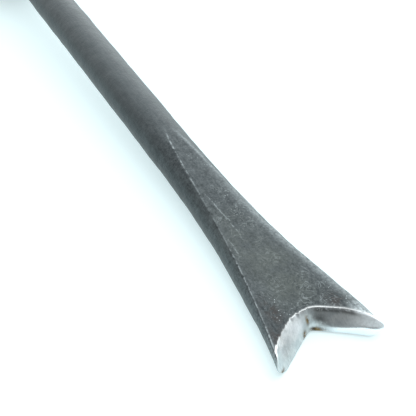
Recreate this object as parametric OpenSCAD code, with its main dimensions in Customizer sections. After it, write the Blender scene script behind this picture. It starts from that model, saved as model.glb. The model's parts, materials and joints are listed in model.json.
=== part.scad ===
// Hand chisel with a V-notched fishtail end, a round forged shank and a turned handle.
// Lengths marked "back" are measured from the two points, along the tool's axis.
// The tool lies on a bench: Z = 0 is the bench, +X runs toward the points.

/* [Fishtail] */
// Width over the two points
point_w = 21.4; // [18:0.2:26]
// Length over which the round shank spreads into the fishtail
flare_l = 63; // [50:1:75]
// How late the spread comes: higher keeps the shank slim for longer
flare_power = 2.36; // [1.8:0.02:3]
// Height of the upper facet above the axis, at the points
upper_h = 1.27; // [1:0.01:2]
// Depth of the lower facet below the axis, at the points
lower_h = 1.6; // [1.2:0.01:2.2]
// Blunt width left at the end of each point
point_blunt = 0.5; // [0.2:0.1:1]

/* [Notch] */
// Depth of the notch at mid thickness, to where its two walls would cross
notch_depth = 9.85; // [7:0.05:12]
// Half of the angle between the two walls
notch_half_angle = 53.5; // [45:0.5:60]
// How far the ground walls lean back from square
notch_lean = 41; // [20:1:45]
// Radius of the valley at the upper facet
valley_r_upper = 6.8; // [3:0.1:8]
// Radius of the valley at the lower facet
valley_r_lower = 1.5; // [1:0.1:2.5]

/* [Shank, bolster and tang] */
// Diameter of the round shank
shank_d = 9; // [8:0.1:11]
// Distance back from the points to the bolster's front face
blade_l = 156; // [110:1:170]
// Diameter of the bolster
bolster_d = 19; // [17:0.5:24]
// Thickness of the bolster
bolster_t = 6; // [4:0.5:9]
// Radius of the fillet between shank and bolster
bolster_fillet = 3.6; // [2:0.1:3.8]
// Side of the square tang at the bolster
tang_w = 6.4; // [5:0.1:7]
// Side of the square tang at its end
tang_end_w = 3; // [2:0.1:4]
// Length of the tang
tang_l = 74; // [50:1:85]

/* [Shock washer and ferrule] */
// Thickness of the leather washer behind the bolster
washer_t = 2.6; // [1.5:0.1:4]
// Diameter of the leather washer
washer_d = 20.4; // [18:0.1:24]
// Outside diameter of the ferrule
ferrule_d = 21.6; // [20:0.1:25]
// Wall of the ferrule
ferrule_wall = 1.3; // [0.8:0.1:2]
// Length of the ferrule
ferrule_l = 19; // [14:0.5:26]
// Diameter of the two brads that hold the ferrule
pin_d = 1.8; // [1.4:0.1:2.4]
// Length of each brad
pin_l = 5; // [3:0.1:5.5]
// Height that each brad stands proud of the ferrule
pin_proud = 0.25; // [0.1:0.05:0.5]
// Turn of the brads around the axis, from level
pin_turn = 35; // [0:5:90]

/* [Handle] */
// Length of the turned part, from the ferrule to the leather
handle_l = 100; // [85:1:120]
// Diameter of the handle where it leaves the ferrule
neck_d = 22; // [21:0.1:25]
// Diameter of the belly
belly_d = 30; // [27:0.1:34]
// Distance from the ferrule to the belly
belly_at = 36; // [28:1:45]
// Diameter of the waist
waist_d = 25; // [22:0.1:27]
// Distance from the ferrule to the waist
waist_at = 74; // [65:1:80]
// Diameter of the handle at the leather
butt_d = 30; // [27:0.1:33]
// Distance from the ferrule to the first turned groove
groove_at = 4.5; // [3.5:0.1:7]
// Spacing of the two turned grooves
groove_gap = 3; // [2:0.1:4]
// Radius of the groove's section
groove_r = 0.6; // [0.3:0.05:0.8]

/* [Striking leathers] */
// Number of leather discs is three; thickness of each
disc_t = 4.2; // [3:0.1:6]
// Diameter of the leather discs
disc_d = 30.6; // [28:0.1:34]
// Edge rounding between the discs
disc_edge = 0.5; // [0.2:0.1:1]
// Edge rounding at the struck end
butt_edge = 2.6; // [1.5:0.1:3.5]
// Diameter of the tenon that carries the discs
tenon_d = 12; // [10:0.1:14]
// Thickness of the wedge at the struck face
wedge_t = 1.8; // [1.2:0.1:2.4]
// Depth of the wedge
wedge_l = 10; // [7:0.5:11]

/* [Hidden] */
// Facets on turned surfaces
turned_fn = 96;
// Gap between driven or glued pieces
fit_gap = 0.04;
// Steps on every rounded corner and groove
arc_steps = 8;
shank_r = shank_d / 2;
// Height of a facet where it runs out at the round shank
runout_h = 0.99 * shank_r;
// Distances back from the points
bolster_back = blade_l + bolster_t;
washer_back = bolster_back + washer_t;
ferrule_back = washer_back + ferrule_l;
butt_back = ferrule_back + handle_l;
end_back = butt_back + 3 * disc_t;
ferrule_bore_r = ferrule_d / 2 - ferrule_wall;
spigot_r = ferrule_bore_r - fit_gap;
tenon_r = tenon_d / 2;

// ---- Curves ----
// Half width of the fishtail at a distance back
function half_w(back) = shank_r + (point_w / 2 - shank_r) * pow(max(0, 1 - back / flare_l), flare_power);
// Height of a facet, which rises evenly from the points to the run-out
function facet_h(back, at_points) = at_points + (runout_h - at_points) * back / flare_l;
// Smooth step from one radius to another
function blend(r0, r1, u) = r0 + (r1 - r0) * (1 - cos(180 * u)) / 2;
// Radius of the turned handle at a distance behind the ferrule
function handle_r(at) =
    at < belly_at ? blend(neck_d, belly_d, at / belly_at) / 2
    : at < waist_at ? blend(belly_d, waist_d, (at - belly_at) / (waist_at - belly_at)) / 2
    : blend(waist_d, butt_d, (at - waist_at) / (handle_l - waist_at)) / 2;
// Points of an arc: centre, radius, first and last angle
function arc(c, r, from, to) =
    [for (i = [0:arc_steps]) let (a = from + (to - from) * i / arc_steps) c + r * [cos(a), sin(a)]];

// ---- How the tool rests: on the lower corners of the points and on the handle's belly ----
handle_step = 2;
handle_curve = [for (at = [0:handle_step:handle_l]) [handle_r(at), ferrule_back + at]];
// Lower corner of a point, where it touches the bench
rest_back = 2;
rest_h = facet_h(rest_back, lower_h);
tip_down = max([for (p = handle_curve) atan((p[0] - rest_h) / (p[1] - rest_back))]);
axis_z = rest_h * cos(tip_down) - rest_back * sin(tip_down);
// The struck end's lower edge is the farthest back, and the points are the farthest forward
lie_low_x = -end_back * cos(tip_down) - (disc_d / 2 - butt_edge) * sin(tip_down);
lie_high_x = -point_blunt * cos(tip_down);
lie_x = -(lie_low_x + lie_high_x) / 2;

// Puts a piece drawn along the axis into the lying position
module lying() translate([lie_x, 0, axis_z]) rotate([0, tip_down, 0]) children();
// A solid turned about the tool's axis, from points [radius, distance back]
module turned(profile) rotate([0, -90, 0]) rotate_extrude($fn = turned_fn) polygon(profile);
// A square rod that tapers toward the handle, starting at a distance back
module tapered_square(back, l, w0, w1)
    translate([-back, 0, 0]) rotate([0, -90, 0]) rotate([0, 0, 45])
        cylinder(h = l, d1 = w0 * sqrt(2), d2 = w1 * sqrt(2), $fn = 4);

// ---- Blade: one forging ----
flare_steps = 22;
side_steps = 10;
// The fishtail is drawn just inside the shank's round, so that the two meet in a clean ring
core_r = shank_r - 0.02;
// One cross-section: rounded right side upward, then rounded left side downward
function flare_section(back) =
    let (w = half_w(back) - shank_r + core_r,
         up = asin(facet_h(back, upper_h) / shank_r),
         down = asin(facet_h(back, lower_h) / shank_r),
         side = [for (i = [0:side_steps]) -down + (up + down) * i / side_steps])
    concat([for (a = side) [-back, w * cos(a), core_r * sin(a)]],
           [for (i = [side_steps:-1:0]) [-back, -w * cos(side[i]), core_r * sin(side[i])]]);
module flare() {
    ring = 2 * (side_steps + 1);
    points = [for (k = [0:flare_steps])
              each flare_section(point_blunt + (flare_l - point_blunt) * k / flare_steps)];
    skin = [for (k = [0:flare_steps - 1], i = [0:ring - 1])
            let (j = (i + 1) % ring)
            [k * ring + i, k * ring + j, (k + 1) * ring + j, (k + 1) * ring + i]];
    front = [[for (i = [ring - 1:-1:0]) i]];
    rear = [[for (i = [0:ring - 1]) flare_steps * ring + i]];
    polyhedron(points, concat(front, skin, rear));
}
// Outline of the space between the points, at a height above the axis
module notch_outline(z) {
    apex = notch_depth + z * tan(notch_lean);
    spread = facet_h(notch_depth, upper_h) + facet_h(notch_depth, lower_h);
    r = valley_r_lower + (valley_r_upper - valley_r_lower) * (z + facet_h(notch_depth, lower_h)) / spread;
    ahead = 4;
    mouth = (apex + ahead) * tan(notch_half_angle);
    centre = [r / sin(notch_half_angle) - apex, 0];
    turn = 90 - notch_half_angle;
    polygon(concat([[ahead, -mouth]], [[ahead, mouth]], arc(centre, r, 180 - turn, 180 + turn)));
}
module notch() {
    reach = 2.6;
    slice = 0.01;
    hull() {
        translate([0, 0, reach]) linear_extrude(slice) notch_outline(reach);
        translate([0, 0, -reach]) linear_extrude(slice) notch_outline(-reach);
    }
}
module shank_and_bolster()
    turned(concat(
        [[0, flare_l], [shank_r, flare_l]],
        arc([shank_r + bolster_fillet, blade_l - bolster_fillet], -bolster_fillet, 0, -90),
        [[bolster_d / 2 - 0.8, blade_l], [bolster_d / 2, blade_l + 0.8],
         [bolster_d / 2, bolster_back - 0.5], [bolster_d / 2 - 0.5, bolster_back], [0, bolster_back]]));
module blade() color([0.25, 0.26, 0.27]) lying() {
    difference() {
        flare();
        notch();
    }
    shank_and_bolster();
    tapered_square(bolster_back, tang_l, tang_w, tang_end_w);
}

// ---- Shock washer and ferrule ----
module shock_washer() color([0.42, 0.27, 0.15]) lying()
    difference() {
        turned([[0, bolster_back], [washer_d / 2 - 0.4, bolster_back], [washer_d / 2, bolster_back + 0.4],
                [washer_d / 2, washer_back - 0.4], [washer_d / 2 - 0.4, washer_back], [0, washer_back]]);
        tapered_square(bolster_back - 1, washer_t + 2, tang_w + 0.4, tang_w + 0.4);
    }
// Places its children at both brads, with +X pointing out of the ferrule
module at_pins()
    for (turn = [pin_turn, pin_turn + 180])
        translate([-(washer_back + ferrule_l / 2), 0, 0]) rotate([turn, 0, 0]) rotate([0, 0, 90])
            translate([ferrule_d / 2 + pin_proud - pin_l, 0, 0]) rotate([0, 90, 0]) children();
module ferrule() color([0.72, 0.58, 0.3]) lying()
    difference() {
        turned([[ferrule_bore_r, washer_back], [ferrule_d / 2 - 0.5, washer_back],
                [ferrule_d / 2, washer_back + 0.5], [ferrule_d / 2, ferrule_back - 0.5],
                [ferrule_d / 2 - 0.5, ferrule_back], [ferrule_bore_r, ferrule_back]]);
        at_pins() cylinder(h = pin_l + 1, d = pin_d + fit_gap, $fn = 32);
    }
module ferrule_pins() color([0.72, 0.58, 0.3]) lying()
    at_pins() cylinder(h = pin_l, d = pin_d, $fn = 32);

// ---- Handle ----
module groove(at)
    translate([-(ferrule_back + at), 0, 0]) rotate([0, -90, 0]) rotate_extrude($fn = turned_fn)
        translate([handle_r(at) + groove_r / 3, 0]) circle(r = groove_r, $fn = 24);
// The wedge's outline, seen along the kerf: thick at the struck face
module wedge_outline(grow) {
    back = end_back - wedge_l;
    tip_w = wedge_t / 4;
    polygon([[-back + grow, -tip_w / 2 - grow], [-back + grow, tip_w / 2 + grow],
             [-end_back - grow, wedge_t / 2 + grow], [-end_back - grow, -wedge_t / 2 - grow]]);
}
module wedge_plate(grow, span)
    translate([0, 0, -span / 2]) linear_extrude(span) wedge_outline(grow);
module handle() color([0.6, 0.42, 0.22]) lying()
    difference() {
        turned(concat([[0, washer_back + fit_gap], [spigot_r, washer_back + fit_gap],
                       [spigot_r, ferrule_back + fit_gap]],
                      [for (p = handle_curve) [p[0], max(p[1], ferrule_back + fit_gap)]],
                      [[tenon_r, butt_back], [tenon_r, end_back], [0, end_back]]));
        tapered_square(bolster_back, tang_l + 2, tang_w + 2 * fit_gap, tang_end_w + 2 * fit_gap);
        at_pins() cylinder(h = pin_l + 1, d = pin_d + fit_gap, $fn = 32);
        groove(groove_at);
        groove(groove_at + groove_gap);
        wedge_plate(fit_gap, tenon_d + 2);
    }
module tenon_wedge() color([0.45, 0.3, 0.16]) lying()
    intersection() {
        wedge_plate(0, tenon_d + 2);
        turned([[0, butt_back - 5], [tenon_r, butt_back - 5], [tenon_r, end_back], [0, end_back]]);
    }

// ---- Striking leathers ----
// One disc, counted from the handle; its two rims have their own rounding
module leather_disc(index, rear_edge) {
    front = butt_back + (index - 1) * disc_t;
    rear = front + disc_t;
    r = disc_d / 2;
    color([0.36, 0.22, 0.12]) lying()
        turned(concat([[tenon_r + fit_gap, front], [r - disc_edge, front], [r, front + disc_edge]],
                      arc([r - rear_edge, rear - rear_edge], rear_edge, 0, 90),
                      [[tenon_r + fit_gap, rear]]));
}
module butt_leather_1() leather_disc(1, disc_edge);
module butt_leather_2() leather_disc(2, disc_edge);
module butt_leather_3() leather_disc(3, butt_edge);

blade();
shock_washer();
ferrule();
ferrule_pins();
handle();
butt_leather_1();
butt_leather_2();
butt_leather_3();
tenon_wedge();
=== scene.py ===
import json
import math

import bpy
import numpy as np
from mathutils import Matrix, Vector, noise


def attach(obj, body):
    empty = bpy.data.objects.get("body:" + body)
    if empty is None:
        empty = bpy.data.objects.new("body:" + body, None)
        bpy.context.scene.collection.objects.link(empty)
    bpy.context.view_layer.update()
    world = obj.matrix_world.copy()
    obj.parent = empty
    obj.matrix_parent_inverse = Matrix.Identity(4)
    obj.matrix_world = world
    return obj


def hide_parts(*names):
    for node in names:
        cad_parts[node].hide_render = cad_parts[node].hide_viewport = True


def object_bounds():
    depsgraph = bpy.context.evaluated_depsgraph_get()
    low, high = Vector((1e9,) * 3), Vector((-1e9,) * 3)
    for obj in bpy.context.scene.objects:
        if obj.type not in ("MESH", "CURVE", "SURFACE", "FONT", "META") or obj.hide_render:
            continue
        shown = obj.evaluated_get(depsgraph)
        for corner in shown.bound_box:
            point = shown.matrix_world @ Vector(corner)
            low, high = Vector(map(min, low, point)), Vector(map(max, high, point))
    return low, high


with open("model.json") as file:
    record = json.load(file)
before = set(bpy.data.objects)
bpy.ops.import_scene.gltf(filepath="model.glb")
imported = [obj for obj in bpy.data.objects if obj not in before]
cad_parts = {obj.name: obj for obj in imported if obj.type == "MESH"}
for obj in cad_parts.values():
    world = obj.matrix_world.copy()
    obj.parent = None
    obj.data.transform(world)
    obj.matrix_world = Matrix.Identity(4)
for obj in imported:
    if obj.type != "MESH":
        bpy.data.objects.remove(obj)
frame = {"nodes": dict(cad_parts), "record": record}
cad_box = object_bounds()

# Shapes are worked out in millimetres in the tool's own frame: the origin is between the two
# points, +X runs out of the notch, +Z leaves the upper facet. "back" is the distance behind
# the points, so it is -X.
MM = 0.001
# The CAD's blunted points end this far behind the origin
POINT_BLUNT = 0.5


# ---------------------------------------------------------------- the tool's frame
def tool_frame():
    """The matrix from the tool's frame, in metres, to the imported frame."""
    face = next(m for m in frame["record"]["mounts"] if m["name"] == "striking_face")
    along = -Vector(face["axis"]).normalized()
    across = Vector((0, 1, 0))
    axes = Matrix((along, across, along.cross(across))).transposed()
    centre = Vector((face["pos_m"][0], 0, face["pos_m"][2]))
    reach = max((v.co - centre).dot(along) for v in frame["nodes"]["blade"].data.vertices)
    origin = centre + along * (reach + POINT_BLUNT * MM)
    return Matrix.Translation(origin) @ axes.to_4x4()


TOOL = tool_frame()


class Span:
    """Where a CAD node lies along the tool: front and rear distance back, and its radius."""

    def __init__(self, node):
        into = TOOL.inverted()
        co = np.array([into @ v.co for v in frame["nodes"][node].data.vertices]) / MM
        self.front = -co[:, 0].max()
        self.rear = -co[:, 0].min()
        self.radius = np.hypot(co[:, 1], co[:, 2]).max()


SPANS = {node: Span(node) for node in frame["nodes"]}


# ---------------------------------------------------------------- mesh helpers
def ring_faces(rows, cols):
    """Quads over closed rings of vertices, numbered ring by ring."""
    r = np.arange(rows - 1)[:, None] * cols
    c = np.arange(cols)[None, :]
    n = (c + 1) % cols
    quads = np.stack([r + c, r + n, r + cols + n, r + cols + c], -1)
    return quads.reshape(-1, 4).tolist()


def fan(centre, ring, flip=False):
    """Triangles from one vertex to a closed ring of vertices."""
    pairs = zip(ring, ring[1:] + ring[:1])
    return [(centre, b, a) if flip else (centre, a, b) for a, b in pairs]


def bumps(co, size, octaves=2, seed=0.0):
    """Smooth noise between about -1 and 1 at points in mm, with features of the given size."""
    shift = Vector((seed, seed * 1.7, seed * 0.6))
    return np.array([noise.fractal(Vector(p) / size + shift, 1.0, 2.0, octaves) for p in co])


def make_piece(name, co, faces, materials, replaced, face_materials=None):
    """A smooth mesh piece in the tool's frame that stands for CAD nodes."""
    mesh = bpy.data.meshes.new(name)
    mesh.from_pydata([TOOL @ Vector(p) for p in np.asarray(co) * MM], [], faces)
    for m in materials:
        mesh.materials.append(m)
    if face_materials is not None:
        mesh.polygons.foreach_set("material_index", face_materials)
    mesh.polygons.foreach_set("use_smooth", [True] * len(mesh.polygons))
    mesh.validate()
    mesh.update()
    obj = bpy.data.objects.new(name, mesh)
    bpy.context.scene.collection.objects.link(obj)
    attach(obj, "root")
    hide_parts(*replaced)
    return obj


def vertex_normals(co, faces):
    """Normals of a mesh given as points and faces."""
    mesh = bpy.data.meshes.new("scratch")
    mesh.from_pydata(np.asarray(co).tolist(), [], faces)
    mesh.update()
    out = np.zeros(len(mesh.vertices) * 3)
    mesh.vertices.foreach_get("normal", out)
    bpy.data.meshes.remove(mesh)
    return out.reshape(-1, 3)


def paint(obj, name, values):
    """Stores one number per vertex for the materials to read."""
    attribute = obj.data.attributes.new(name, "FLOAT", "POINT")
    attribute.data.foreach_set("value", np.asarray(values, np.float32))


def dense(profile, step):
    """A profile with extra points, so that no stretch is longer than step."""
    out = [profile[0]]
    for a, b in zip(profile, profile[1:]):
        n = max(1, math.ceil(math.dist(a, b) / step))
        for i in range(1, n + 1):
            out.append((a[0] + (b[0] - a[0]) * i / n, a[1] + (b[1] - a[1]) * i / n))
    return out


def arc(centre, radius, start, end, steps=8):
    """Points (back, radius) of a rounded corner; angles in degrees from the +back direction."""
    turns = [math.radians(start + (end - start) * i / steps) for i in range(steps + 1)]
    return [(centre[0] + radius * math.cos(t), centre[1] + radius * math.sin(t)) for t in turns]


def gauss(x, width):
    """1 at x = 0, falling to 0 over about twice the width."""
    return np.exp(-((x / width) ** 2))


def smooth(x, low, high):
    """0 below low, 1 above high, smooth between."""
    t = np.clip((x - low) / (high - low), 0, 1)
    return t * t * (3 - 2 * t)


# ---------------------------------------------------------------- material helpers
class Shader:
    """Short calls for building one node material. Its coordinates are in the tool's frame, in mm."""

    def __init__(self, name):
        self.material = bpy.data.materials.new(name)
        self.material.use_nodes = True
        self.tree = self.material.node_tree
        self.bsdf = self.tree.nodes["Principled BSDF"]
        coords = self.tree.nodes.new("ShaderNodeTexCoord")
        into = self.tree.nodes.new("ShaderNodeMapping")
        into.inputs["Scale"].default_value = (1 / MM,) * 3
        into.inputs["Rotation"].default_value = TOOL.inverted().to_euler()
        into.inputs["Location"].default_value = TOOL.inverted().to_translation() / MM
        self.link(coords.outputs["Object"], into.inputs["Vector"])
        self.mm = into.outputs["Vector"]

    def link(self, a, b):
        self.tree.links.new(a, b)

    def feed(self, socket, value):
        """Links a socket to another one, or sets its constant."""
        if isinstance(value, bpy.types.NodeSocket):
            self.link(value, socket)
        else:
            socket.default_value = value

    def stretch(self, x, y, z):
        """The coordinates, scaled per axis."""
        node = self.tree.nodes.new("ShaderNodeVectorMath")
        node.operation = "MULTIPLY"
        self.link(self.mm, node.inputs[0])
        node.inputs[1].default_value = (x, y, z)
        return node.outputs[0]

    def noise(self, size, detail=3.0, rough=0.55, at=None, distort=0.0):
        """Noise from 0 to 1 with features of a size in mm."""
        node = self.tree.nodes.new("ShaderNodeTexNoise")
        self.link(at or self.mm, node.inputs["Vector"])
        node.inputs["Scale"].default_value = 1 / size
        node.inputs["Detail"].default_value = detail
        node.inputs["Roughness"].default_value = rough
        node.inputs["Distortion"].default_value = distort
        return node.outputs["Fac"]

    def cells(self, size):
        """Distance to the nearest of scattered points, with a spacing in mm."""
        node = self.tree.nodes.new("ShaderNodeTexVoronoi")
        self.link(self.mm, node.inputs["Vector"])
        node.inputs["Scale"].default_value = 1 / size
        return node.outputs["Distance"]

    def math(self, kind, a, b=0.0, clamp=False):
        """One step of arithmetic on two numbers."""
        node = self.tree.nodes.new("ShaderNodeMath")
        node.operation = kind
        node.use_clamp = clamp
        self.feed(node.inputs[0], a)
        self.feed(node.inputs[1], b)
        return node.outputs[0]

    def step(self, value, low, high):
        """0 below low, 1 above high, smooth between."""
        node = self.tree.nodes.new("ShaderNodeMapRange")
        node.interpolation_type = "SMOOTHSTEP"
        self.link(value, node.inputs["Value"])
        node.inputs["From Min"].default_value = low
        node.inputs["From Max"].default_value = high
        return node.outputs["Result"]

    def range(self, value, low, high):
        """A 0 to 1 value spread between two numbers."""
        node = self.tree.nodes.new("ShaderNodeMapRange")
        self.link(value, node.inputs["Value"])
        node.inputs["To Min"].default_value = low
        node.inputs["To Max"].default_value = high
        return node.outputs["Result"]

    def mix(self, factor, a, b):
        """Mixes two colours."""
        node = self.tree.nodes.new("ShaderNodeMix")
        node.data_type = "RGBA"
        self.feed(node.inputs["Factor"], factor)
        self.feed(node.inputs["A"], a if isinstance(a, bpy.types.NodeSocket) else (*a, 1))
        self.feed(node.inputs["B"], b if isinstance(b, bpy.types.NodeSocket) else (*b, 1))
        return node.outputs["Result"]

    def blend(self, factor, a, b):
        """Mixes two numbers."""
        node = self.tree.nodes.new("ShaderNodeMix")
        self.feed(node.inputs["Factor"], factor)
        self.feed(node.inputs["A"], a)
        self.feed(node.inputs["B"], b)
        return node.outputs["Result"]

    def painted(self, name):
        """A number stored on the mesh."""
        node = self.tree.nodes.new("ShaderNodeAttribute")
        node.attribute_name = name
        return node.outputs["Fac"]

    def times(self, *factors):
        """The product of several numbers, kept between 0 and 1."""
        out = factors[0]
        for f in factors[1:]:
            out = self.math("MULTIPLY", out, f, clamp=True)
        return out

    def most(self, *values):
        """The largest of several numbers."""
        out = values[0]
        for v in values[1:]:
            out = self.math("MAXIMUM", out, v)
        return out

    def part(self, axis):
        """One coordinate, in mm."""
        node = self.tree.nodes.new("ShaderNodeSeparateXYZ")
        self.link(self.mm, node.inputs[0])
        return node.outputs[axis]

    def scratch(self, start, end, width):
        """1 along a wavering line on the upper facet, between two places (back, across)."""
        a, b = (Vector((-p[0], p[1], 0)) for p in (start, end))
        along = (b - a).normalized()
        places = []
        for direction in (along, Vector((-along.y, along.x, 0))):
            node = self.tree.nodes.new("ShaderNodeVectorMath")
            node.operation = "DOT_PRODUCT"
            self.link(self.mm, node.inputs[0])
            node.inputs[1].default_value = direction
            places.append(self.math("SUBTRACT", node.outputs["Value"], a.dot(direction)))
        waver = self.range(self.noise(2.5, 3, 0.6), -0.8, 0.8)
        off = self.math("ABSOLUTE", self.math("ADD", places[1], waver))
        length = (b - a).length
        inside = self.times(
            self.step(places[0], 0, 0.1 * length),
            self.step(places[0], length, 0.9 * length),
            self.step(self.part("Z"), 0.3, 0.9),
        )
        return self.times(inside, self.step(off, width, 0.3 * width))

    def bump(self, height, depth):
        """Raises the surface by height, from 0 to 1, times depth in mm."""
        node = self.tree.nodes.new("ShaderNodeBump")
        node.inputs["Strength"].default_value = 1
        node.inputs["Distance"].default_value = depth * MM
        self.link(height, node.inputs["Height"])
        last = self.bsdf.inputs["Normal"].links
        if last:
            self.link(last[0].from_socket, node.inputs["Normal"])
        self.link(node.outputs["Normal"], self.bsdf.inputs["Normal"])

    def set(self, **sockets):
        """Feeds shader sockets by name, with _ for a space."""
        for name, value in sockets.items():
            self.feed(self.bsdf.inputs[name.replace("_", " ")], value)


# ---------------------------------------------------------------- materials
# Scratches on the upper facet: two places (back, across), width in mm, strength
SCRATCHES = [
    ((43.0, -2.1), (28.0, -1.4), 0.14, 0.30),
    ((37.3, 2.2), (33.6, 3.3), 0.20, 0.30),
    ((34.1, 3.3), (28.5, 3.3), 0.15, 0.25),
    ((30.0, -3.9), (25.5, -4.3), 0.16, 0.25),
    ((21.0, 3.4), (15.0, 5.6), 0.14, 0.20),
]


def forged_steel():
    """Dark mottled skin with worn ridges and curled scratches, with painted highlights on the shoulders
    and along the burred edge, and painted glints in pits.
    """
    s = Shader("forged_steel")
    broad = s.noise(6.0, 4, 0.6)
    mottle = s.noise(1.1, 5, 0.65)
    grain = s.blend(s.painted("smooth"), s.noise(0.42, 4, 0.75), 0.5)
    streaks = s.noise(0.8, 3, 0.6, at=s.stretch(0.15, 1.6, 1.6))
    curl = s.math("ABSOLUTE", s.math("SUBTRACT", s.noise(2.4, 2, 0.5, distort=2.0), 0.5))
    curl_places = s.step(s.noise(3.0, 2), 0.42, 0.6)
    curls = s.times(s.step(curl, 0.04, 0.0), curl_places, s.painted("wiry"))
    tone = s.math("ADD", s.math("MULTIPLY", mottle, 0.3), s.math("MULTIPLY", grain, 0.5))
    tone = s.math("ADD", tone, s.math("MULTIPLY", streaks, 0.2))
    tone = s.blend(s.painted("smooth"), tone, 0.5)
    darkest = (0.0175, 0.0220, 0.0245)
    lightest = (0.076, 0.088, 0.092)
    color = s.mix(s.step(tone, 0.33, 0.67), darkest, lightest)
    color = s.mix(s.times(s.painted("smooth"), 0.22), color, (0.105, 0.120, 0.125))
    olive = s.times(s.painted("olive"), s.step(broad, 0.3, 0.6), 0.5)
    color = s.mix(olive, color, (0.067, 0.076, 0.068))
    dark_curl = s.math("ABSOLUTE", s.math("SUBTRACT", s.noise(2.8, 2, 0.5, distort=2.2), 0.47))
    dark_curls = s.times(s.step(dark_curl, 0.05, 0.0), s.painted("wiry"), 0.7)
    color = s.mix(dark_curls, color, darkest)
    brown = s.times(s.painted("brown"), s.step(mottle, 0.38, 0.55), 0.8)
    color = s.mix(brown, color, (0.030, 0.026, 0.025))
    # Painted glints: small light dots where pits catch the light
    speck_places = s.step(s.noise(2.2, 2), 0.44, 0.6)
    speck_glints = s.times(s.step(s.cells(0.55), 0.20, 0.08), speck_places, s.painted("speck_glints"))
    ridge = s.times(s.painted("worn"), s.step(s.noise(1.1, 3, 0.7), 0.36, 0.6))
    # Painted highlight: a light band where light falls on the right shoulder, the right point, the
    # facets' run-out and the left side near the point
    shoulder_highlight = s.times(s.painted("shoulder_highlight"), s.step(s.noise(0.45, 3, 0.7), 0.22, 0.70), 0.9)
    bright = s.most(ridge, shoulder_highlight, speck_glints, s.times(curls, 0.32))
    for start, end, width, strength in SCRATCHES:
        broken = s.step(s.noise(0.7, 2), 0.42, 0.62)
        bright = s.most(bright, s.times(s.scratch(start, end, width), broken, strength))
    # Light steel for the worn ridges, curls and scratches, and for the painted highlights and glints
    color = s.mix(bright, color, (0.33, 0.37, 0.38))
    # Painted highlight: the notch's ground, burred upper edge is painted near white where it catches the
    # light
    burr_highlight = s.times(s.painted("burr_highlight"), s.step(s.noise(0.4, 3, 0.7), 0.25, 0.48))
    color = s.mix(burr_highlight, color, (0.80, 0.82, 0.82))
    shine = s.most(bright, burr_highlight)
    s.set(
        Base_Color=color,
        Metallic=s.blend(burr_highlight, s.blend(bright, 0.85, 1.0), 0.4),
        Roughness=s.blend(shine, s.range(grain, 0.34, 0.52), 0.34),
    )
    s.bump(grain, 0.035)
    s.bump(mottle, 0.08)
    s.bump(streaks, 0.03)
    s.bump(curls, 0.03)
    return s.material


def ground_steel():
    """Grinding lines down the notch's walls, with painted reflection and highlight on pale places,
    painted shade, tarnish, rust and pits.
    """
    s = Shader("ground_steel")
    lines = s.noise(0.5, 4, 0.7, at=s.stretch(0.5, 2.2, 0.5))
    patches = s.noise(1.6, 4, 0.6)
    pits = s.step(s.cells(0.9), 0.10, 0.04)
    color = s.mix(s.step(patches, 0.3, 0.7), (0.54, 0.575, 0.59), (0.72, 0.745, 0.745))
    color = s.mix(s.times(s.step(lines, 0.45, 0.7), 0.45), color, (0.33, 0.355, 0.37))
    # The pale places are painted reflection and highlight: near-white matt colour where the walls would
    # catch the light
    fine = s.noise(0.35, 4, 0.7, at=s.stretch(1.0, 1.0, 0.5))
    pale = s.times(s.painted("pale"), s.step(fine, 0.1, 0.62))
    lip = s.painted("lip")
    # Near white: painted reflection and highlight on the pale places, and the polished lip's own colour
    color = s.mix(s.most(pale, lip), color, (0.92, 0.97, 1.0))
    # Dark grey: painted shade under the right upper edge and by the valley, and tarnish on the left wall
    shade_and_tarnish = s.times(s.painted("shade_and_tarnish"), s.step(s.noise(0.6, 4, 0.7), 0.22, 0.52))
    color = s.mix(shade_and_tarnish, color, (0.11, 0.11, 0.11))
    rust = s.times(s.painted("rust"), s.step(s.noise(0.45, 3, 0.6), 0.30, 0.5))
    rust = s.most(rust, s.times(pits, s.painted("rust_near"), 0.6))
    ochre = s.mix(s.step(s.noise(0.8, 2), 0.4, 0.6), (0.085, 0.050, 0.016), (0.26, 0.18, 0.07))
    color = s.mix(rust, color, ochre)
    matt = s.times(pale, s.math("SUBTRACT", 1.0, lip))
    rough = s.blend(lip, s.blend(pale, s.range(lines, 0.24, 0.40), 0.6), 0.25)
    s.set(
        Base_Color=color,
        Metallic=s.blend(rust, s.blend(matt, 1.0, 0.1), 0.1),
        Roughness=s.blend(rust, rough, 0.85),
    )
    s.bump(lines, 0.03)
    s.bump(patches, 0.03)
    return s.material


def dull_brass():
    """Brass with a patina and rubbed edges."""
    s = Shader("dull_brass")
    drawn = s.noise(1.0, 4, 0.6, at=s.stretch(3.0, 0.5, 0.5))
    patina = s.noise(4.5, 5, 0.6)
    color = s.mix(s.step(patina, 0.35, 0.7), (0.56, 0.40, 0.17), (0.36, 0.24, 0.10))
    edge = s.painted("worn")
    color = s.mix(edge, color, (0.80, 0.63, 0.32))
    s.set(Base_Color=color, Metallic=1.0, Roughness=s.blend(edge, s.range(patina, 0.26, 0.50), 0.22))
    s.bump(drawn, 0.015)
    s.bump(s.noise(2.0, 3), 0.05)
    return s.material


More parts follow.
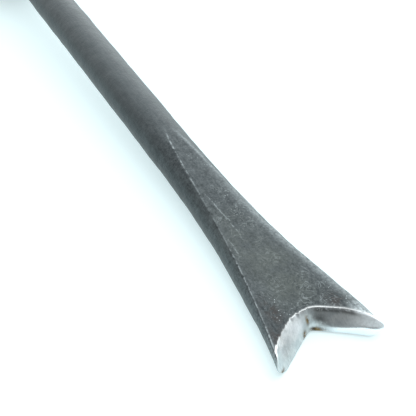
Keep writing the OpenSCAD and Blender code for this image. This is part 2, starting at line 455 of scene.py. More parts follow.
def turned_ash():
    """Oiled ash with growth rings, open pores and grime in the grooves."""
    s = Shader("turned_ash")
    # Growth rings are cylinders about a line well beside the handle, bent by slow noise
    node = s.tree.nodes.new("ShaderNodeTexWave")
    node.wave_type = "RINGS"
    node.rings_direction = "X"
    node.inputs["Scale"].default_value = 0.115
    node.inputs["Distortion"].default_value = 2.6
    node.inputs["Detail"].default_value = 3.0
    node.inputs["Detail Scale"].default_value = 0.9
    shift = s.tree.nodes.new("ShaderNodeVectorMath")
    shift.operation = "ADD"
    shift.inputs[1].default_value = (0, 3.5, 26.0)
    s.link(s.stretch(0.055, 1.0, 1.0), shift.inputs[0])
    s.link(shift.outputs[0], node.inputs["Vector"])
    rings = node.outputs["Fac"]
    pores = s.noise(0.30, 3, 0.7, at=s.stretch(0.045, 1.5, 1.5))
    fibres = s.noise(0.55, 5, 0.65, at=s.stretch(0.03, 1.0, 1.0))
    broad = s.noise(16.0, 3, at=s.stretch(0.4, 1.0, 1.0))
    late = s.step(rings, 0.45, 0.95)
    color = s.mix(late, (0.56, 0.355, 0.165), (0.36, 0.195, 0.075))
    color = s.mix(s.math("MULTIPLY", s.step(fibres, 0.42, 0.7), 0.4), color, (0.66, 0.44, 0.22))
    open_pores = s.math("MULTIPLY", s.step(pores, 0.56, 0.66), s.blend(late, 0.9, 0.25))
    color = s.mix(s.math("MULTIPLY", open_pores, 0.7), color, (0.17, 0.085, 0.035))
    color = s.mix(s.math("MULTIPLY", s.step(broad, 0.4, 0.75), 0.35), color, (0.30, 0.155, 0.06))
    grime = s.math("MULTIPLY", s.painted("grime"), s.step(s.noise(2.2, 4), 0.25, 0.6), clamp=True)
    color = s.mix(grime, color, (0.11, 0.06, 0.03))
    s.set(Base_Color=color, Roughness=s.blend(open_pores, s.range(fibres, 0.34, 0.5), 0.7))
    s.set(Coat_Weight=0.18, Coat_Roughness=0.35)
    s.bump(open_pores, -0.05)
    s.bump(fibres, 0.03)
    s.bump(s.noise(7.0, 3), 0.12)
    return s.material


def sole_leather(name, light, dark):
    """Layered leather with scuffed edges, between two colours."""
    s = Shader(name)
    layers = s.noise(0.5, 4, 0.7, at=s.stretch(3.2, 0.35, 0.35))
    fibres = s.noise(0.35, 4, 0.75)
    blotch = s.noise(3.5, 4, 0.6)
    color = s.mix(s.step(blotch, 0.3, 0.72), light, dark)
    color = s.mix(s.math("MULTIPLY", s.step(layers, 0.5, 0.68), 0.55), color, [c * 0.45 for c in dark])
    scuffs = s.math("MULTIPLY", s.painted("worn"), s.step(fibres, 0.38, 0.62), clamp=True)
    color = s.mix(scuffs, color, [min(1, c * 1.55) for c in light])
    s.set(Base_Color=color, Roughness=s.blend(scuffs, s.range(fibres, 0.48, 0.68), 0.85))
    s.bump(layers, 0.10)
    s.bump(fibres, 0.08)
    return s.material


def dark_hardwood():
    """Fine dark grain for the wedge."""
    s = Shader("dark_hardwood")
    grain = s.noise(0.35, 4, 0.7, at=s.stretch(0.1, 1.2, 0.5))
    color = s.mix(s.step(grain, 0.35, 0.65), (0.27, 0.15, 0.075), (0.12, 0.06, 0.03))
    s.set(Base_Color=color, Roughness=s.range(grain, 0.5, 0.7))
    s.bump(grain, 0.05)
    return s.material


# ---------------------------------------------------------------- blade
SHANK_R = 4.5
FLARE_L = 63.0
FLARE_SPREAD = 6.2
FLARE_POWER = 2.36
# Height of the upper facet and depth of the lower one at the points, and of both at their run-out
UPPER_H = 1.27
LOWER_H = 1.6
RUNOUT_H = 0.99 * SHANK_R
BOLSTER_R = 9.5
BOLSTER_T = 6.0
BOLSTER_FILLET = 3.6
TANG_W = 6.4
TANG_END_W = 3.0
# Samples across a facet and down a side, and rings behind the notch and up to the round shank
FACET = 88
SIDE = 26
NOTCH_ROWS = 72
FLARE_ROWS = 120
# Distance back at which the rows behind the notch have straightened out
STRAIGHT = 20.0
# How much narrower the underside is at the points
UNDERCUT = 0.09
# Softness of the ridges in mm: the left one is crisp, the right upper one is worn round
CRISP = 0.10
WORN_ROUND = 0.45
# How far the ground walls bulge between their two edges, and the end of each point forward
WALL_BOW = 0.22
NOSE_BULGE = 1.35
# How much wider the right side is than the left one, where the forging isn't quite true
RIGHT_SWELL = 0.5


def clustered(n):
    """n + 1 places from -1 to 1, closer together at both ends."""
    return np.sin(np.linspace(-1, 1, n + 1) * math.pi * 0.47) / math.sin(math.pi * 0.47)


ACROSS = clustered(FACET)
DOWN = (clustered(SIDE) + 1) / 2
# How far down the right wall its upright lip starts
LIP_START = np.interp(ACROSS, [0.3, 0.41, 0.55, 0.75, 0.95], [0.80, 0.78, 0.69, 0.53, 0.45])


def half_w(back):
    """Half the width of the blade before its facets are cut."""
    return SHANK_R + FLARE_SPREAD * np.clip(1 - back / FLARE_L, 0, 1) ** FLARE_POWER


def facet_h(back, at_points):
    """Distance of a facet from the middle plane, which grows in a straight line to the run-out."""
    return np.minimum(at_points + (RUNOUT_H - at_points) / FLARE_L * back, SHANK_R)


def facet_turn(back, at_points):
    """Angle above level at which the round side meets a facet."""
    turn = np.arcsin(np.clip(facet_h(back, at_points) / SHANK_R, 0, 1))
    return np.minimum(turn, math.radians(80))


def undercut(back):
    """Width of the underside as a share of the upper side's."""
    return 1 - UNDERCUT * smooth(STRAIGHT - back, 0, STRAIGHT)


def tears(w):
    """How far back the left half of the notch's upper edge is torn."""
    torn = smooth(-w, -1, 2) * smooth(w, -9.4, -8.4)
    return torn * (0.10 * np.sin(4.9 * w) + 0.08 * np.sin(8.7 * w + 1))


def upper_edge(w):
    """Distance back of the notch's upper edge at a place across the blade."""
    skew = np.where(w < 0, 0.4, -0.35) * smooth(np.abs(w), 0.5, 4)
    return 9.65 - 1.2 * (np.hypot(w, 6.5) - 6.5) + skew + tears(w)


def lower_edge(w):
    """The same for the lower edge, which stands forward and has a sharper valley."""
    return 7.92 - 0.747 * (np.hypot(w, 0.5) - 0.5) + 0.55 * smooth(np.abs(w), 7.8, 9.0)


def ridge_softness(back, at_points):
    """The facets' ridges get sharper as they run out into the round shank."""
    return at_points * (0.04 + 0.96 * smooth(FLARE_L - back, 0, 28))


def soft_limit(z, limit, softness):
    """z, bent over smoothly where it would pass limit."""
    return -softness * np.logaddexp(-z / softness, -limit / softness)


def facet_line(back, at_points, narrow, softness):
    """Points across a facet, at the height of the upper one."""
    w = half_w(back)
    y = w * np.cos(facet_turn(back, at_points)) * ACROSS
    round_z = SHANK_R * np.sqrt(1 - (y / w) ** 2)
    z = soft_limit(round_z, facet_h(back, at_points), ridge_softness(back, softness))
    return np.stack([-back, y * narrow, z], -1)


def side_line(back, softness):
    """Points down the right side, from the upper ridge to the lower one."""
    turn = facet_turn(back, UPPER_H) * (1 - DOWN) - facet_turn(back, LOWER_H) * DOWN
    y = half_w(back) * np.cos(turn) * (1 - (1 - undercut(back)) * smooth(DOWN, 0.2, 1))
    z = SHANK_R * np.sin(turn)
    upper = soft_limit(z, facet_h(back, UPPER_H), ridge_softness(back, softness))
    lower = -soft_limit(-z, facet_h(back, LOWER_H), ridge_softness(back, CRISP))
    return np.stack([-back, y, np.where(z > 0, upper, lower)], -1)


def right_swell(back):
    """The extra width of the right side at a distance back."""
    return RIGHT_SWELL * smooth(back, 1.5, 8) * (1 - smooth(back, 14, 32))


def section(upper_back, side_back, lower_back):
    """One ring: left ridge to right ridge, down the right side, back under, and up the left side.
    Each argument is the distance back at the samples of that stretch."""
    softness = CRISP + (WORN_ROUND - CRISP) * smooth(ACROSS, -0.2, 0.9)
    top = facet_line(upper_back, UPPER_H, 1.0, softness)
    right = side_line(side_back, WORN_ROUND)
    under = facet_line(lower_back, LOWER_H, undercut(lower_back), CRISP) * [1, 1, -1]
    left = side_line(side_back, CRISP)[::-1] * [1, -1, 1]
    ring = np.concatenate([top, right[1:-1], under[::-1], left[1:-1]])
    ring[:, 1] += right_swell(-ring[:, 0]) * smooth(ring[:, 1], 1.5, 7.0)
    return ring


def edge_back(edge, at_points, narrow):
    """Distance back of a notch edge at a facet's samples, whose spread depends on it."""
    back = np.full(FACET + 1, 5.0)
    for _ in range(60):
        w = half_w(back) * np.cos(facet_turn(back, at_points)) * narrow * ACROSS
        back = (back + edge(w)) / 2
    return back


def fishtail_rows():
    """Rings from the notch back to the round shank."""
    upper = edge_back(upper_edge, UPPER_H, 1.0)
    lower = edge_back(lower_edge, LOWER_H, 1 - UNDERCUT)
    # The end of each point bulges forward below its upper corner
    nose = NOSE_BULGE * np.sin(math.pi * DOWN ** 0.7) ** 0.8
    side = upper[-1] * (1 - DOWN) + lower[-1] * DOWN - nose
    rows = []
    for v in np.linspace(0, 1, NOTCH_ROWS) ** 1.15:
        rows.append(section(*[b + (STRAIGHT - b) * v for b in (upper, side, lower)]))
    for back in np.linspace(STRAIGHT, FLARE_L, FLARE_ROWS)[1:]:
        rows.append(section(*[np.full(n + 1, back) for n in (FACET, SIDE, FACET)]))
    return rows


def shank_rows(turn):
    """Rings of the shank, the bolster and the tang, at given angles round the axis."""
    rear = SPANS["shock_washer"].front
    front = rear - BOLSTER_T
    fillet = front - BOLSTER_FILLET
    front_edge = 0.9
    rear_edge = 0.6
    profile = dense([(FLARE_L + 0.4, SHANK_R), (fillet, SHANK_R)], 0.7)
    profile += arc((fillet, SHANK_R + BOLSTER_FILLET), BOLSTER_FILLET, -90, 0, 12)[1:]
    profile += dense([(front, SHANK_R + BOLSTER_FILLET), (front, BOLSTER_R - front_edge)], 0.3)[1:]
    profile += arc((front + front_edge, BOLSTER_R - front_edge), front_edge, 180, 90, 6)[1:]
    profile += dense([(front + front_edge, BOLSTER_R), (rear - rear_edge, BOLSTER_R)], 0.5)[1:]
    profile += arc((rear - rear_edge, BOLSTER_R - rear_edge), rear_edge, 90, 0, 5)[1:]
    # The bolster's rear face, in to the tang
    profile += [(rear, 6.0)]
    square = 0.5 / np.maximum(np.abs(np.cos(turn)), np.abs(np.sin(turn)))
    tang = [(rear, TANG_W), (SPANS["blade"].rear, TANG_END_W)]
    rings = [(back, np.full(len(turn), r)) for back, r in profile]
    rings += [(back, side * square) for back, side in dense(tang, 10)]
    rows = []
    for back, r in rings:
        rows.append(np.stack([np.full(len(turn), -back), r * np.cos(turn), r * np.sin(turn)], -1))
    return rows


def wall_points(ring, index):
    """The ground walls between the ring's upper and lower edges. index holds the vertex numbers
    of the walls' grid, whose rim is already in the ring."""
    top = ring[index[0]]
    under = ring[index[-1]]
    left = ring[index[:, 0]]
    right = ring[index[:, -1]]
    q = DOWN[:, None, None]
    wall = top[None] * (1 - q) + under[None] * q
    # The right wall slants down to a lip that stands upright
    on_right = smooth(ACROSS, 0.15, 0.5)
    lip = (soft_limit(DOWN[:, None] / LIP_START, 1, 0.05) - DOWN[:, None]) * on_right
    bow = WALL_BOW * np.sin(math.pi * DOWN)[:, None] * (1 - 0.9 * on_right)
    wall[..., 0] += (under - top)[None, :, 0] * lip + bow
    # Only the top of the wall is torn
    wall[..., 0] += ((1 - DOWN) - (1 - DOWN) ** 6)[:, None] * tears(top[:, 1])
    # Near each point the wall bends over to meet the blade's side
    for edge, points, sign, start in ((0, left, -1, 0.9), (-1, right, 1, 0.8)):
        pull = smooth(sign * ACROSS, start, 1.0)[None, :, None]
        wall = wall + (points - wall[:, edge])[:, None, :] * pull
    return wall


def build_blade():
    """The forging, as one closed skin: fishtail, walls of the notch, shank, bolster and tang.
    Returns its points and faces, how many faces aren't walls, and the walls' grid of vertices."""
    rows = fishtail_rows()
    ring = rows[0]
    n = len(ring)
    rows += shank_rows(np.arctan2(rows[-1][:, 2], rows[-1][:, 1]))
    co = np.concatenate(rows + [[[rows[-1][0, 0], 0, 0]]])
    faces = ring_faces(len(rows), n)
    faces += fan(len(co) - 1, list(range(len(co) - 1 - n, len(co) - 1)))
    n_skin = len(faces)
    index = np.zeros((SIDE + 1, FACET + 1), int)
    index[0] = np.arange(FACET + 1)
    index[:, -1] = FACET + np.arange(SIDE + 1)
    index[-1] = 2 * FACET + SIDE - np.arange(FACET + 1)
    index[1:, 0] = n - np.arange(1, SIDE + 1)
    inner = wall_points(ring, index)[1:-1, 1:-1]
    numbers = np.arange(inner.shape[0] * inner.shape[1]).reshape(inner.shape[:2])
    index[1:-1, 1:-1] = len(co) + numbers
    co = np.concatenate([co, inner.reshape(-1, 3)])
    quads = np.stack([index[:-1, :-1], index[1:, :-1], index[1:, 1:], index[:-1, 1:]], -1)
    faces += quads.reshape(-1, 4).tolist()
    on_wall = np.zeros(len(co), bool)
    on_wall[index.ravel()] = True
    return forge(co, faces, on_wall), faces, n_skin, index


def forge(co, faces, on_wall):
    """Adds the hammer's unevenness to the skin, and the grinder's to the walls."""
    back = -co[:, 0]
    rear = SPANS["shock_washer"].front
    shown = back < rear - 0.3
    hammer = 0.085 * bumps(co, 5.5, 2) + 0.03 * bumps(co, 1.6, 2, seed=7)
    bolster = smooth(back, rear - BOLSTER_T - 3, rear - BOLSTER_T)
    hammer = hammer * (1 + 1.3 * bolster)
    grind = 0.03 * bumps(co, 1.2, 2, seed=3)
    depth = np.where(on_wall, grind, hammer) * shown
    return co + vertex_normals(co, faces) * depth[:, None]


def spot(co, place, reach, axes=(0, 1)):
    """A soft patch around a place, over two of the axes: 0 is back, 1 across, 2 up."""
    seen = co * [-1, 1, 1]
    far = [(seen[:, axis] - p) / r for axis, p, r in zip(axes, place, reach)]
    return np.exp(-(far[0] ** 2) - far[1] ** 2)


def paint_skin(blade, co):
    """Where the forged skin is worn, stained or scuffed, with painted highlights on the shoulders and
    along its burred upper edge, and painted glints in pits.
    """
    back = -co[:, 0]
    y = co[:, 1]
    z = co[:, 2]
    up = smooth(z, -0.3, 0.6)
    flare = smooth(FLARE_L - back, -1, 3)
    upper = half_w(back) * np.cos(facet_turn(back, UPPER_H))
    lower = half_w(back) * np.cos(facet_turn(back, LOWER_H))
    left_ridge = gauss(np.hypot(y + upper, z - facet_h(back, UPPER_H)), 0.15)
    low_ridge = gauss(np.hypot(np.abs(y) - lower, z + facet_h(back, LOWER_H)), 0.2)
    sharp = np.interp(back, [0, 24, 32, 44, 50, 63], [0.85, 0.75, 0.35, 0.4, 0.6, 0.6])
    paint(blade, "worn", np.maximum(left_ridge, low_ridge) * flare * sharp)
    # Painted highlight: a lighter band along the right shoulder, at the right point, along the facets'
    # run-out and down the left side near the point, where light falls on them
    shoulder_highlight = gauss(y - upper - right_swell(back), 1.2)
    shoulder_highlight = shoulder_highlight * smooth(back, 1.5, 4) * (1 - smooth(back, 30, 60))
    right_tip_highlight = smooth(y, 5.8, 8.2) * (1 - smooth(back, 6, 9.5))
    shoulder_highlight = np.maximum(0.5 * shoulder_highlight, right_tip_highlight) * up
    run_out_highlight = np.interp(back, [34, 44, 58, 64], [0, 0.4, 0.5, 0])
    shoulder_highlight = np.maximum(shoulder_highlight, run_out_highlight * gauss(y - upper, 0.4) * up)
    left_side_highlight = np.interp(back, [0, 1.5, 4, 8, 20, 55], [1.8, 1.6, 0.8, 0.35, 0.2, 0])
    left_side_highlight = left_side_highlight * (y < -3) * smooth(facet_h(back, UPPER_H) - z, 0.1, 0.3)
    left_side_highlight = left_side_highlight * smooth(facet_h(back, LOWER_H) + z, 0.05, 0.3)
    paint(blade, "shoulder_highlight", np.maximum(shoulder_highlight, left_side_highlight))
    olive = spot(co, (25, -1.5), (13, 3.6)) + spot(co, (18, 1), (7, 4))
    paint(blade, "olive", np.clip(olive, 0, 1) * up)
    brown = spot(co, (9.4, 5.6), (1.6, 1.5)) + spot(co, (11.5, -5.4), (3.0, 1.2))
    brown += spot(co, (6.3, -7.4), (2.2, 1.0))
    paint(blade, "brown", np.clip(1.2 * brown, 0, 1) * up)
    # Painted glints: small light dots where pits catch the light
    speck_glints = 1.5 * spot(co, (12, -4.4), (3.5, 2.2)) + spot(co, (9, 6.6), (6, 1.6))
    speck_glints += spot(co, (45, 2), (14, 2.5))
    paint(blade, "speck_glints", np.clip(0.1 + speck_glints, 0, 1))
    paint(blade, "smooth", 0.6 * smooth(back, 50, 85) * (1 - smooth(back, 140, 152)))
    wiry = 0.25 + 0.75 * spot(co, (12, 2.5), (8, 5)) + 0.6 * spot(co, (38, 0), (9, 4))
    paint(blade, "wiry", np.clip(wiry, 0, 1) * smooth(52 - back, 0, 16) * up)
    # Painted highlight along the notch's upper edge, where the ground, burred edge catches the light
    behind = back - upper_edge(y)
    places = [-9.6, -8.9, -7.8, -6.5, -4.5, -3, -1.5, 0, 4, 6, 9, 10.5]
    along = np.interp(y, places, [0.2, 1.0, 1.0, 0.5, 0.5, 0.85, 0.75, 0.8, 0.85, 1, 1, 1])
    wide = np.interp(y, places, [0.08, 0.16, 0.18, 0.14, 0.14, 0.18, 0.16, 0.24, 0.36, 0.50, 0.55, 0.35])
    paint(blade, "burr_highlight", along * gauss(behind, wide) * up)


def paint_walls(blade, co, index):
    """Rust in the valley of the notch and at the left point, painted shade under the right upper
    edge and by the valley, tarnish on the left wall, painted reflection and highlight on pale
    places, and the polished lip."""
    rust = spot(co, (-0.35, 0.15), (0.28, 0.75), (1, 2)) + spot(co, (-1.5, -1.45), (0.40, 0.5), (1, 2))
    rust += spot(co, (0.9, -1.6), (0.85, 0.32), (1, 2)) + 0.8 * spot(co, (-9.0, -1.1), (0.5, 0.3), (1, 2))
    paint(blade, "rust", np.clip(1.3 * rust, 0, 1))
    paint(blade, "rust_near", gauss(co[:, 1], 3.0))
    down = np.full(len(co), 1.0)
    down[index] = DOWN[:, None]
    lip_start = np.full(len(co), 1.0)
    lip_start[index] = LIP_START
    y = co[:, 1]
    # Painted shade under the right upper edge and by the valley, and tarnish on the left wall
    shade_and_tarnish = 0.85 * smooth(0.22 - down, 0, 0.12) * smooth(y, 0.6, 2.0) * (1 - smooth(y, 6.4, 7.8))
    shade_and_tarnish += 0.8 * spot(co, (1.8, 0.1), (1.1, 1.0), (1, 2))
    shade_and_tarnish += 0.42 * spot(co, (-6.6, 0), (1.8, 1.8), (1, 2))
    paint(blade, "shade_and_tarnish", shade_and_tarnish)
    # Painted reflection low on the right wall towards its point, painted highlight along the walls' upper
    # edge, and painted highlight where the left wall curves
    right_wall_reflection = smooth(0.45 * down + 0.1 * y, 0.6, 1.15) * smooth(y, 0.8, 2.5)
    upper_edge_highlight = gauss(down, 0.07) * smooth(y, 1, 3)
    left_wall_highlight = 0.8 * spot(co, (-2.4, 0.3), (1.3, 1.0), (1, 2))
    paint(blade, "pale", np.maximum(np.maximum(right_wall_reflection, upper_edge_highlight), left_wall_highlight))
    paint(blade, "lip", smooth(down - lip_start, -0.12, 0.03) * smooth(y, 2.0, 4.0))


def add_blade():
    """The forging with its skin and its ground walls."""
    co, faces, n_skin, index = build_blade()
    slots = np.zeros(len(faces), np.int32)
    slots[n_skin:] = 1
    blade = make_piece("blade_forging", co, faces, [forged_steel(), ground_steel()],
                       ["blade"], slots)
    paint_skin(blade, co)
    paint_walls(blade, co, index)


# ---------------------------------------------------------------- turned pieces
TURN_STEPS = 128
# Clearance between the handle and the pieces it meets
GAP = 0.05
FERRULE_WALL = 1.3
TENON_R = 6.0
# Radii of the holes in the butt leathers and in the washer
BUTT_BORE = 6.04
WASHER_BORE = 4.7
# How far the driven wedge stands out of the tenon's end, and half its thickness
WEDGE_PROUD = 0.25
WEDGE_HALF = 1.0
# Diameters of the handle, and places behind the ferrule where it is thickest and thinnest
NECK_D = 22
BELLY_D = 30
WAIST_D = 25
BUTT_D = 30
BELLY_AT = 36
WAIST_AT = 74
# Places of the two turned grooves, behind the ferrule
GROOVES = (4.5, 7.5)


def lathe(profile, square_rows=()):
    """A closed skin turned about the tool's axis from (back, radius) points, outside first.
    A profile that starts and ends on the axis is capped; any other is closed on itself.
    Rows listed in square_rows are square, with their radius as half a side."""
    turn = np.linspace(0, 2 * math.pi, TURN_STEPS, endpoint=False)[::-1]
    square = 1 / np.maximum(np.abs(np.cos(turn)), np.abs(np.sin(turn)))
    capped = profile[0][1] == 0
    body = profile[1:-1] if capped else profile
    rings = []
    for i, (back, r) in enumerate(body):
        rr = r * (square if i in square_rows else np.ones(TURN_STEPS))
        rings.append(np.stack([np.full(TURN_STEPS, -back), rr * np.cos(turn), rr * np.sin(turn)], -1))
    co = np.concatenate(rings)
    faces = ring_faces(len(rings), TURN_STEPS)
    first = list(range(TURN_STEPS))
    last = list(range(len(co) - TURN_STEPS, len(co)))
    if capped:
        co = np.concatenate([co, [[-profile[0][0], 0, 0], [-profile[-1][0], 0, 0]]])
        faces += fan(len(co) - 2, first, flip=True) + fan(len(co) - 1, last)
    else:
        faces += [[a, b, d, c] for a, b, c, d in
                  zip(last, last[1:] + last[:1], first, first[1:] + first[:1])]
    return co, faces


def displaced(co, faces, depth):
    """The points moved along their normals."""
    return co + vertex_normals(co, faces) * depth[:, None]


def add_ferrule():
    """A brass tube with soft dents and rubbed rims."""
    span = SPANS["ferrule"]
    r = span.radius
    bore = r - FERRULE_WALL
    rim = 0.55
    outer = arc((span.front + rim, r - rim), rim, 180, 90) + arc((span.rear - rim, r - rim), rim, 90, 0)
    profile = [(span.front, bore)] + dense(outer, 0.5) + [(span.rear, bore)]
    co, faces = lathe(profile)
    outside = np.hypot(co[:, 1], co[:, 2]) > r - 0.9
    dents = -0.16 * smooth(bumps(co, 4.0, 2, seed=11), 0.25, 0.7) + 0.03 * bumps(co, 6.0, 1, seed=2)
    co = displaced(co, faces, dents * outside)
    ferrule = make_piece("ferrule_tube", co, faces, [dull_brass()], ["ferrule"])
    rims = gauss(-co[:, 0] - span.front, 0.5) + gauss(-co[:, 0] - span.rear, 0.5)
    paint(ferrule, "worn", 0.8 * rims)


def blend_r(d0, d1, u):
    """Radius on a smooth curve from one diameter to another, u going from 0 to 1."""
    return (d0 + (d1 - d0) * (1 - math.cos(math.pi * u)) / 2) / 2


def handle_r(at, length):
    """Radius of the turned handle at a place behind the ferrule: neck, belly, waist and butt."""
    if at < BELLY_AT:
        return blend_r(NECK_D, BELLY_D, at / BELLY_AT)
    if at < WAIST_AT:
        return blend_r(BELLY_D, WAIST_D, (at - BELLY_AT) / (WAIST_AT - BELLY_AT))
    return blend_r(WAIST_D, BUTT_D, (at - WAIST_AT) / (length - WAIST_AT))


def groove_depth(at):
    """Depth of the turned grooves at a place behind the ferrule."""
    return sum(0.55 * math.exp(-(((at - g) / 0.42) ** 2)) for g in GROOVES)


def add_handle():
    """The ash handle: the tang's square hole, the spigot, the turned grip and the wedged tenon."""
    ferrule = SPANS["ferrule"]
    butt = SPANS["butt_leather_1"].front
    end = SPANS["handle"].rear
    length = butt - ferrule.rear
    spigot = ferrule.radius - FERRULE_WALL - GAP
    front = SPANS["shock_washer"].rear + GAP
    neck = ferrule.rear + GAP
    # The tang's hole is a little deeper than the tang
    hole_end = SPANS["blade"].rear + 2
    hole = [(hole_end, TANG_END_W / 2 + GAP), (front, TANG_W / 2 + GAP)]
    profile = [(hole_end, 0)] + dense(hole, 8)
    n_square = len(profile) - 1
    profile += dense([(front, 5.2), (front, spigot), (neck, spigot)], 2)
    profile += dense([(neck, spigot), (neck, handle_r(0, length) - 0.4)], 0.4)[1:]
    step = 0.35
    for i in range(1, int(length / step)):
        at = i * step
        profile.append((ferrule.rear + at, handle_r(at, length) - groove_depth(at)))
    profile.append((butt - GAP, handle_r(length, length) - 0.15))
    face = end - WEDGE_PROUD
    tenon = TENON_R - GAP
    profile += dense([(butt - GAP, tenon), (face, tenon)], 1.0)
    profile += dense([(face, tenon), (face, 0.3)], 0.4)[1:]
    profile += [(face, 0)]
    co, faces = lathe(profile, range(n_square))
    r = np.hypot(co[:, 1], co[:, 2])
    outside = (-co[:, 0] > ferrule.rear + 0.3) & (-co[:, 0] < butt - 0.3) & (r > 9)
    dents = 0.10 * bumps(co, 14.0, 1, seed=5) - 0.30 * smooth(bumps(co, 5.0, 2, seed=19), 0.42, 0.85)
    co = displaced(co, faces, dents * outside)
    handle = make_piece("handle_ash", co, faces, [turned_ash()], ["handle"])
    back = -co[:, 0] - ferrule.rear
    grime = sum(gauss(back - g, 0.5) for g in (0.2, *GROOVES))
    grime += gauss(back - length, 1.2) * (r > TENON_R + 1)
    on_end = -co[:, 0] > face - 0.1
    beside_wedge = gauss(np.abs(co[:, 1]) - WEDGE_HALF, 0.35)
    grime += on_end * (beside_wedge + smooth(r, TENON_R - 1.2, TENON_R))
    paint(handle, "grime", np.clip(grime, 0, 1) * 0.9)


def add_leather(node, seed, material, bore, rear_edge=0.5):
    """A stamped leather ring with an uneven rim. A wide rear edge marks the struck one."""
    span = SPANS[node]
    r = span.radius
    front_edge = 0.5
    outer = arc((span.front + front_edge, r - front_edge), front_edge, 180, 90, 6)
    outer += arc((span.rear - rear_edge, r - rear_edge), rear_edge, 90, 0, 12)
    profile = dense([(span.front, bore)] + outer + [(span.rear, bore)], 0.45)
    co, faces = lathe(profile)
    radius = np.hypot(co[:, 1], co[:, 2])
    rim = smooth(radius, r - 3.2, r - 0.6)
    layers = bumps(co * [3.0, 1, 1], 2.4, 2, seed=seed * 3.1)
    depth = rim * (0.10 * layers + 0.12 * bumps(co, 7.0, 1, seed=seed) - 0.05)
    co = displaced(co, faces, depth)
    ring = make_piece(node + "_ring", co, faces, [material], [node])
    worn = gauss(radius - r + 0.4, 0.7) * smooth(-co[:, 0], span.rear - 3, span.rear - 0.4)
    struck = 0.8 * smooth(-co[:, 0], span.rear - 0.2, span.rear) * (rear_edge > 1)
    paint(ring, "worn", np.clip(worn + struck, 0, 1))


def add_leathers():
    """The three leathers of the struck end and the washer behind the bolster."""
    sole = sole_leather("sole_leather", (0.30, 0.165, 0.08), (0.17, 0.085, 0.04))
    add_leather("butt_leather_1", 1, sole, BUTT_BORE)
    add_leather("butt_leather_2", 2, sole, BUTT_BORE)
    add_leather("butt_leather_3", 3, sole, BUTT_BORE, rear_edge=2.6)
    pale = sole_leather("washer_leather", (0.36, 0.22, 0.12), (0.22, 0.12, 0.06))
    add_leather("shock_washer", 4, pale, WASHER_BORE)


def add_wedge_and_pins():
    """The CAD's own wedge and brads keep their shape and get their finish here."""
    for node, material in (("tenon_wedge", dark_hardwood()), ("ferrule_pins", dull_brass())):
        data = frame["nodes"][node].data
        data.materials.clear()
        data.materials.append(material)


# ---------------------------------------------------------------- stage, light and camera
# Half the floor's side in metres: its far edge has to lie at the horizon
FLOOR_HALF = 30.0
# The backdrop is nearly burnt out, so the floor gives off some light of its own
FLOOR_COLOR = (0.49, 0.555, 0.56, 1)
FLOOR_GLOW = (0.81, 0.97, 1.0, 1)
FLOOR_GLOW_STRENGTH = 0.64
# The direction of the room's bright side, and the strength of its light on both sides
BRIGHT_SIDE = (-0.75, 0.6, 0.1)
ROOM_DIM = 0.28
ROOM_BRIGHT = 2.9
ROOM_COLOR = (0.94, 0.985, 1.0, 1)
# A weak soft light over the front of the blade: places and diameter in metres, power in watts
SOFTBOX_PLACE = (0.1, 0.05, 0.5)
SOFTBOX_AIM = (0.13, 0, 0)
SOFTBOX_SIZE = 0.7
SOFTBOX_POWER = 0.8


def add_floor():
    """A plain pale floor under the tool."""
    h = FLOOR_HALF
    mesh = bpy.data.meshes.new("floor")
    mesh.from_pydata([(-h, -h, 0), (h, -h, 0), (h, h, 0), (-h, h, 0)], [], [(0, 1, 2, 3)])
    s = Shader("paper_floor")
    s.set(Base_Color=FLOOR_COLOR, Roughness=0.9, Specular_IOR_Level=0.0)
    s.set(Emission_Color=FLOOR_GLOW, Emission_Strength=FLOOR_GLOW_STRENGTH)
    mesh.materials.append(s.material)
    floor = bpy.data.objects.new("floor", mesh)
    floor.location.z = cad_box[0][2] - 0.0001
    bpy.context.scene.collection.objects.link(floor)


def add_softbox():
    """The one lamp, a soft disk."""
    data = bpy.data.lights.new("softbox", "AREA")
    data.shape = "DISK"
    data.size = SOFTBOX_SIZE
    data.energy = SOFTBOX_POWER
    light = bpy.data.objects.new("softbox", data)
    light.location = SOFTBOX_PLACE
    aim = Vector(SOFTBOX_AIM) - Vector(SOFTBOX_PLACE)
    light.rotation_euler = aim.to_track_quat("-Z", "Y").to_euler()
    bpy.context.scene.collection.objects.link(light)


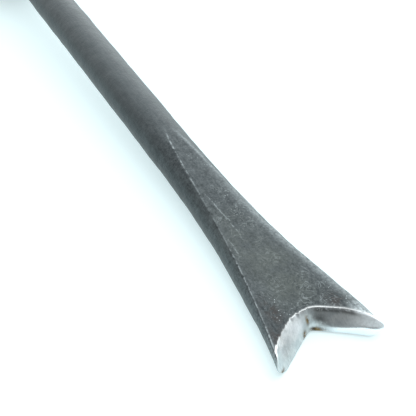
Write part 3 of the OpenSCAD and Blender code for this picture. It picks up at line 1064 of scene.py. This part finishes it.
def add_room():
    """A white room, bright towards the handle and +Y and dim on the camera's side."""
    world = bpy.data.worlds.new("world")
    bpy.context.scene.world = world
    world.use_nodes = True
    nodes = world.node_tree.nodes
    links = world.node_tree.links
    coords = nodes.new("ShaderNodeTexCoord")
    toward = nodes.new("ShaderNodeVectorMath")
    toward.operation = "DOT_PRODUCT"
    toward.inputs[1].default_value = Vector(BRIGHT_SIDE).normalized()
    ramp = nodes.new("ShaderNodeMapRange")
    ramp.interpolation_type = "SMOOTHSTEP"
    ramp.inputs["From Min"].default_value = -0.3
    ramp.inputs["From Max"].default_value = 1.0
    ramp.inputs["To Min"].default_value = ROOM_DIM
    ramp.inputs["To Max"].default_value = ROOM_BRIGHT
    links.new(coords.outputs["Generated"], toward.inputs[0])
    links.new(toward.outputs["Value"], ramp.inputs["Value"])
    links.new(ramp.outputs["Result"], nodes["Background"].inputs["Strength"])
    nodes["Background"].inputs["Color"].default_value = ROOM_COLOR


# Camera, in the tool's frame: place in mm from between the points, angles in degrees, lens in mm
CAMERA_PLACE = (79.6, -64.8, 116.7)
CAMERA_HEADING = 152.58
CAMERA_DIP = 40.45
CAMERA_ROLL = 0.23
CAMERA_LENS = 82.2


def add_camera():
    """The photograph's viewpoint, fitted to the edges of the shank and the notch."""
    heading, dip, roll = (math.radians(a) for a in (CAMERA_HEADING, CAMERA_DIP, CAMERA_ROLL))
    look = Vector((math.cos(dip) * math.cos(heading), math.cos(dip) * math.sin(heading), -math.sin(dip)))
    right = look.cross(Vector((0, 0, 1))).normalized()
    up = right.cross(look)
    tilted_right = right * math.cos(roll) + up * math.sin(roll)
    tilted_up = up * math.cos(roll) - right * math.sin(roll)
    turn = Matrix((tilted_right, tilted_up, -look)).transposed().to_4x4()
    data = bpy.data.cameras.new("camera")
    data.lens = CAMERA_LENS
    data.sensor_width = 36
    data.clip_start = 0.01
    camera = bpy.data.objects.new("camera", data)
    camera.matrix_world = TOOL @ Matrix.Translation(Vector(CAMERA_PLACE) * MM) @ turn
    bpy.context.scene.collection.objects.link(camera)
    bpy.context.scene.camera = camera


add_camera()
add_blade()
add_ferrule()
add_handle()
add_leathers()
add_wedge_and_pins()
add_floor()
add_softbox()
add_room()
bpy.context.scene.view_settings.view_transform = "Standard"

bpy.context.view_layer.update()
